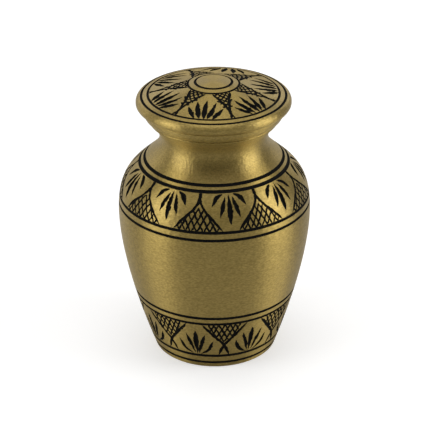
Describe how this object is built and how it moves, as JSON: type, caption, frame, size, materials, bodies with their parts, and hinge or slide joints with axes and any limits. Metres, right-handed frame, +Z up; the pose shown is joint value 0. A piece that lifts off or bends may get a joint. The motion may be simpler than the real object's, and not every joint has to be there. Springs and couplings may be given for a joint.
{
  "type": "keepsake cremation urn",
  "caption": "Small turned brass keepsake urn with a lift-off domed lid and black-filled engraved leaf bands.",
  "frame": {"origin": "middle of the flat underside", "axes": "+Z up along the turning axis, -Y towards the front as pictured, +X to the right"},
  "size_m": [0.0508, 0.0508, 0.0762],
  "materials": {
    "brass": "satin brushed antique brass, engraved lines filled black"
  },
  "bodies": {
    "root": {"body": "brass", "lid": "brass"}
  },
  "joints": []
}
